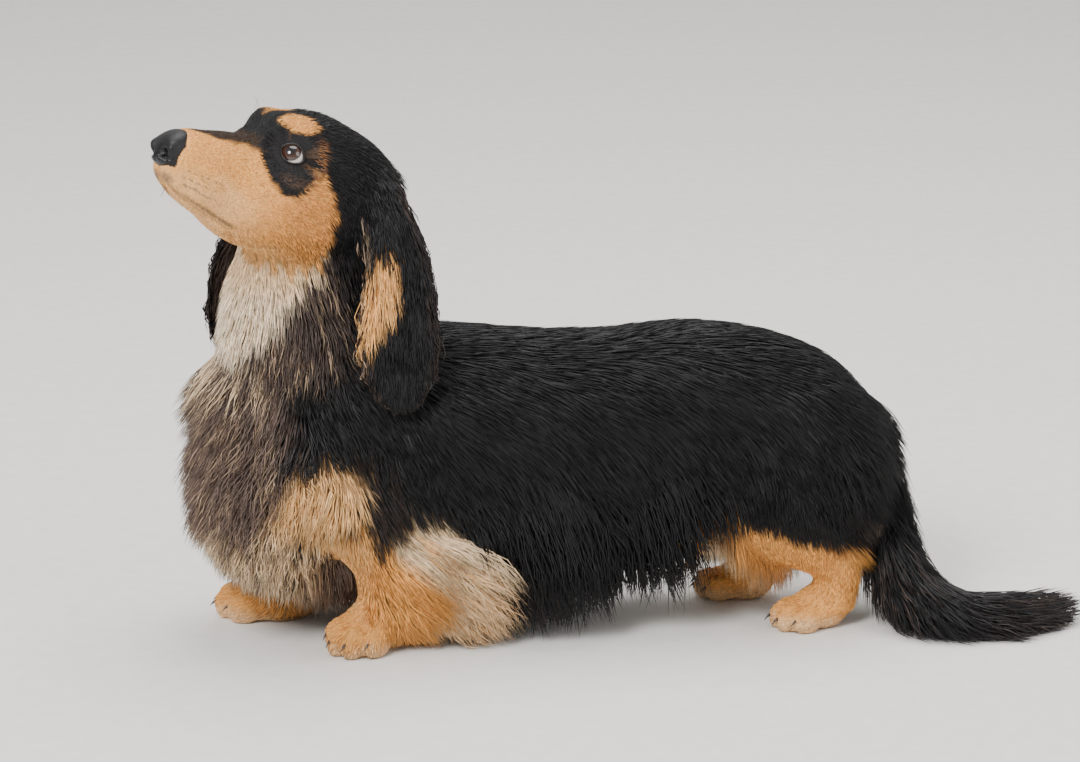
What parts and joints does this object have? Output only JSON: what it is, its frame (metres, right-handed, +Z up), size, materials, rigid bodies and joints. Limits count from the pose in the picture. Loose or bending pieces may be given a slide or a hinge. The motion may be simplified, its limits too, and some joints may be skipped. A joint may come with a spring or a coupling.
{
  "type": "longhaired dachshund",
  "caption": "Life-size still model of a black and tan longhaired dachshund, standing with its head raised and turned",
  "frame": {"origin": "the middle of the dog's box, on the floor that it stands on", "axes": "+X towards the tail, +Y towards the dog's right side, +Z up; the dog faces -X"},
  "size_m": [0.7022, 0.2096, 0.418],
  "materials": {
    "black_coat": "long soft black hair with a faint blue-grey sheen",
    "tan_coat": "short to long soft hair, orange tan to cream",
    "nose_leather": "moist pebbled black skin",
    "eye": "wet, glossy, dark brown"
  },
  "bodies": {
    "root": {"torso": "black_coat", "neck": "black_coat", "head": "black_coat", "nose": "nose_leather", "eye_left": "eye", "eye_right": "eye", "ear_left": "black_coat", "ear_right": "black_coat", "foreleg_left": "tan_coat", "foreleg_right": "tan_coat", "forepaw_left": "tan_coat", "forepaw_right": "tan_coat", "hindleg_left": "tan_coat", "hindleg_right": "tan_coat", "hindpaw_left": "tan_coat", "hindpaw_right": "tan_coat", "tail_base": "black_coat", "tail_end": "black_coat"}
  },
  "joints": []
}
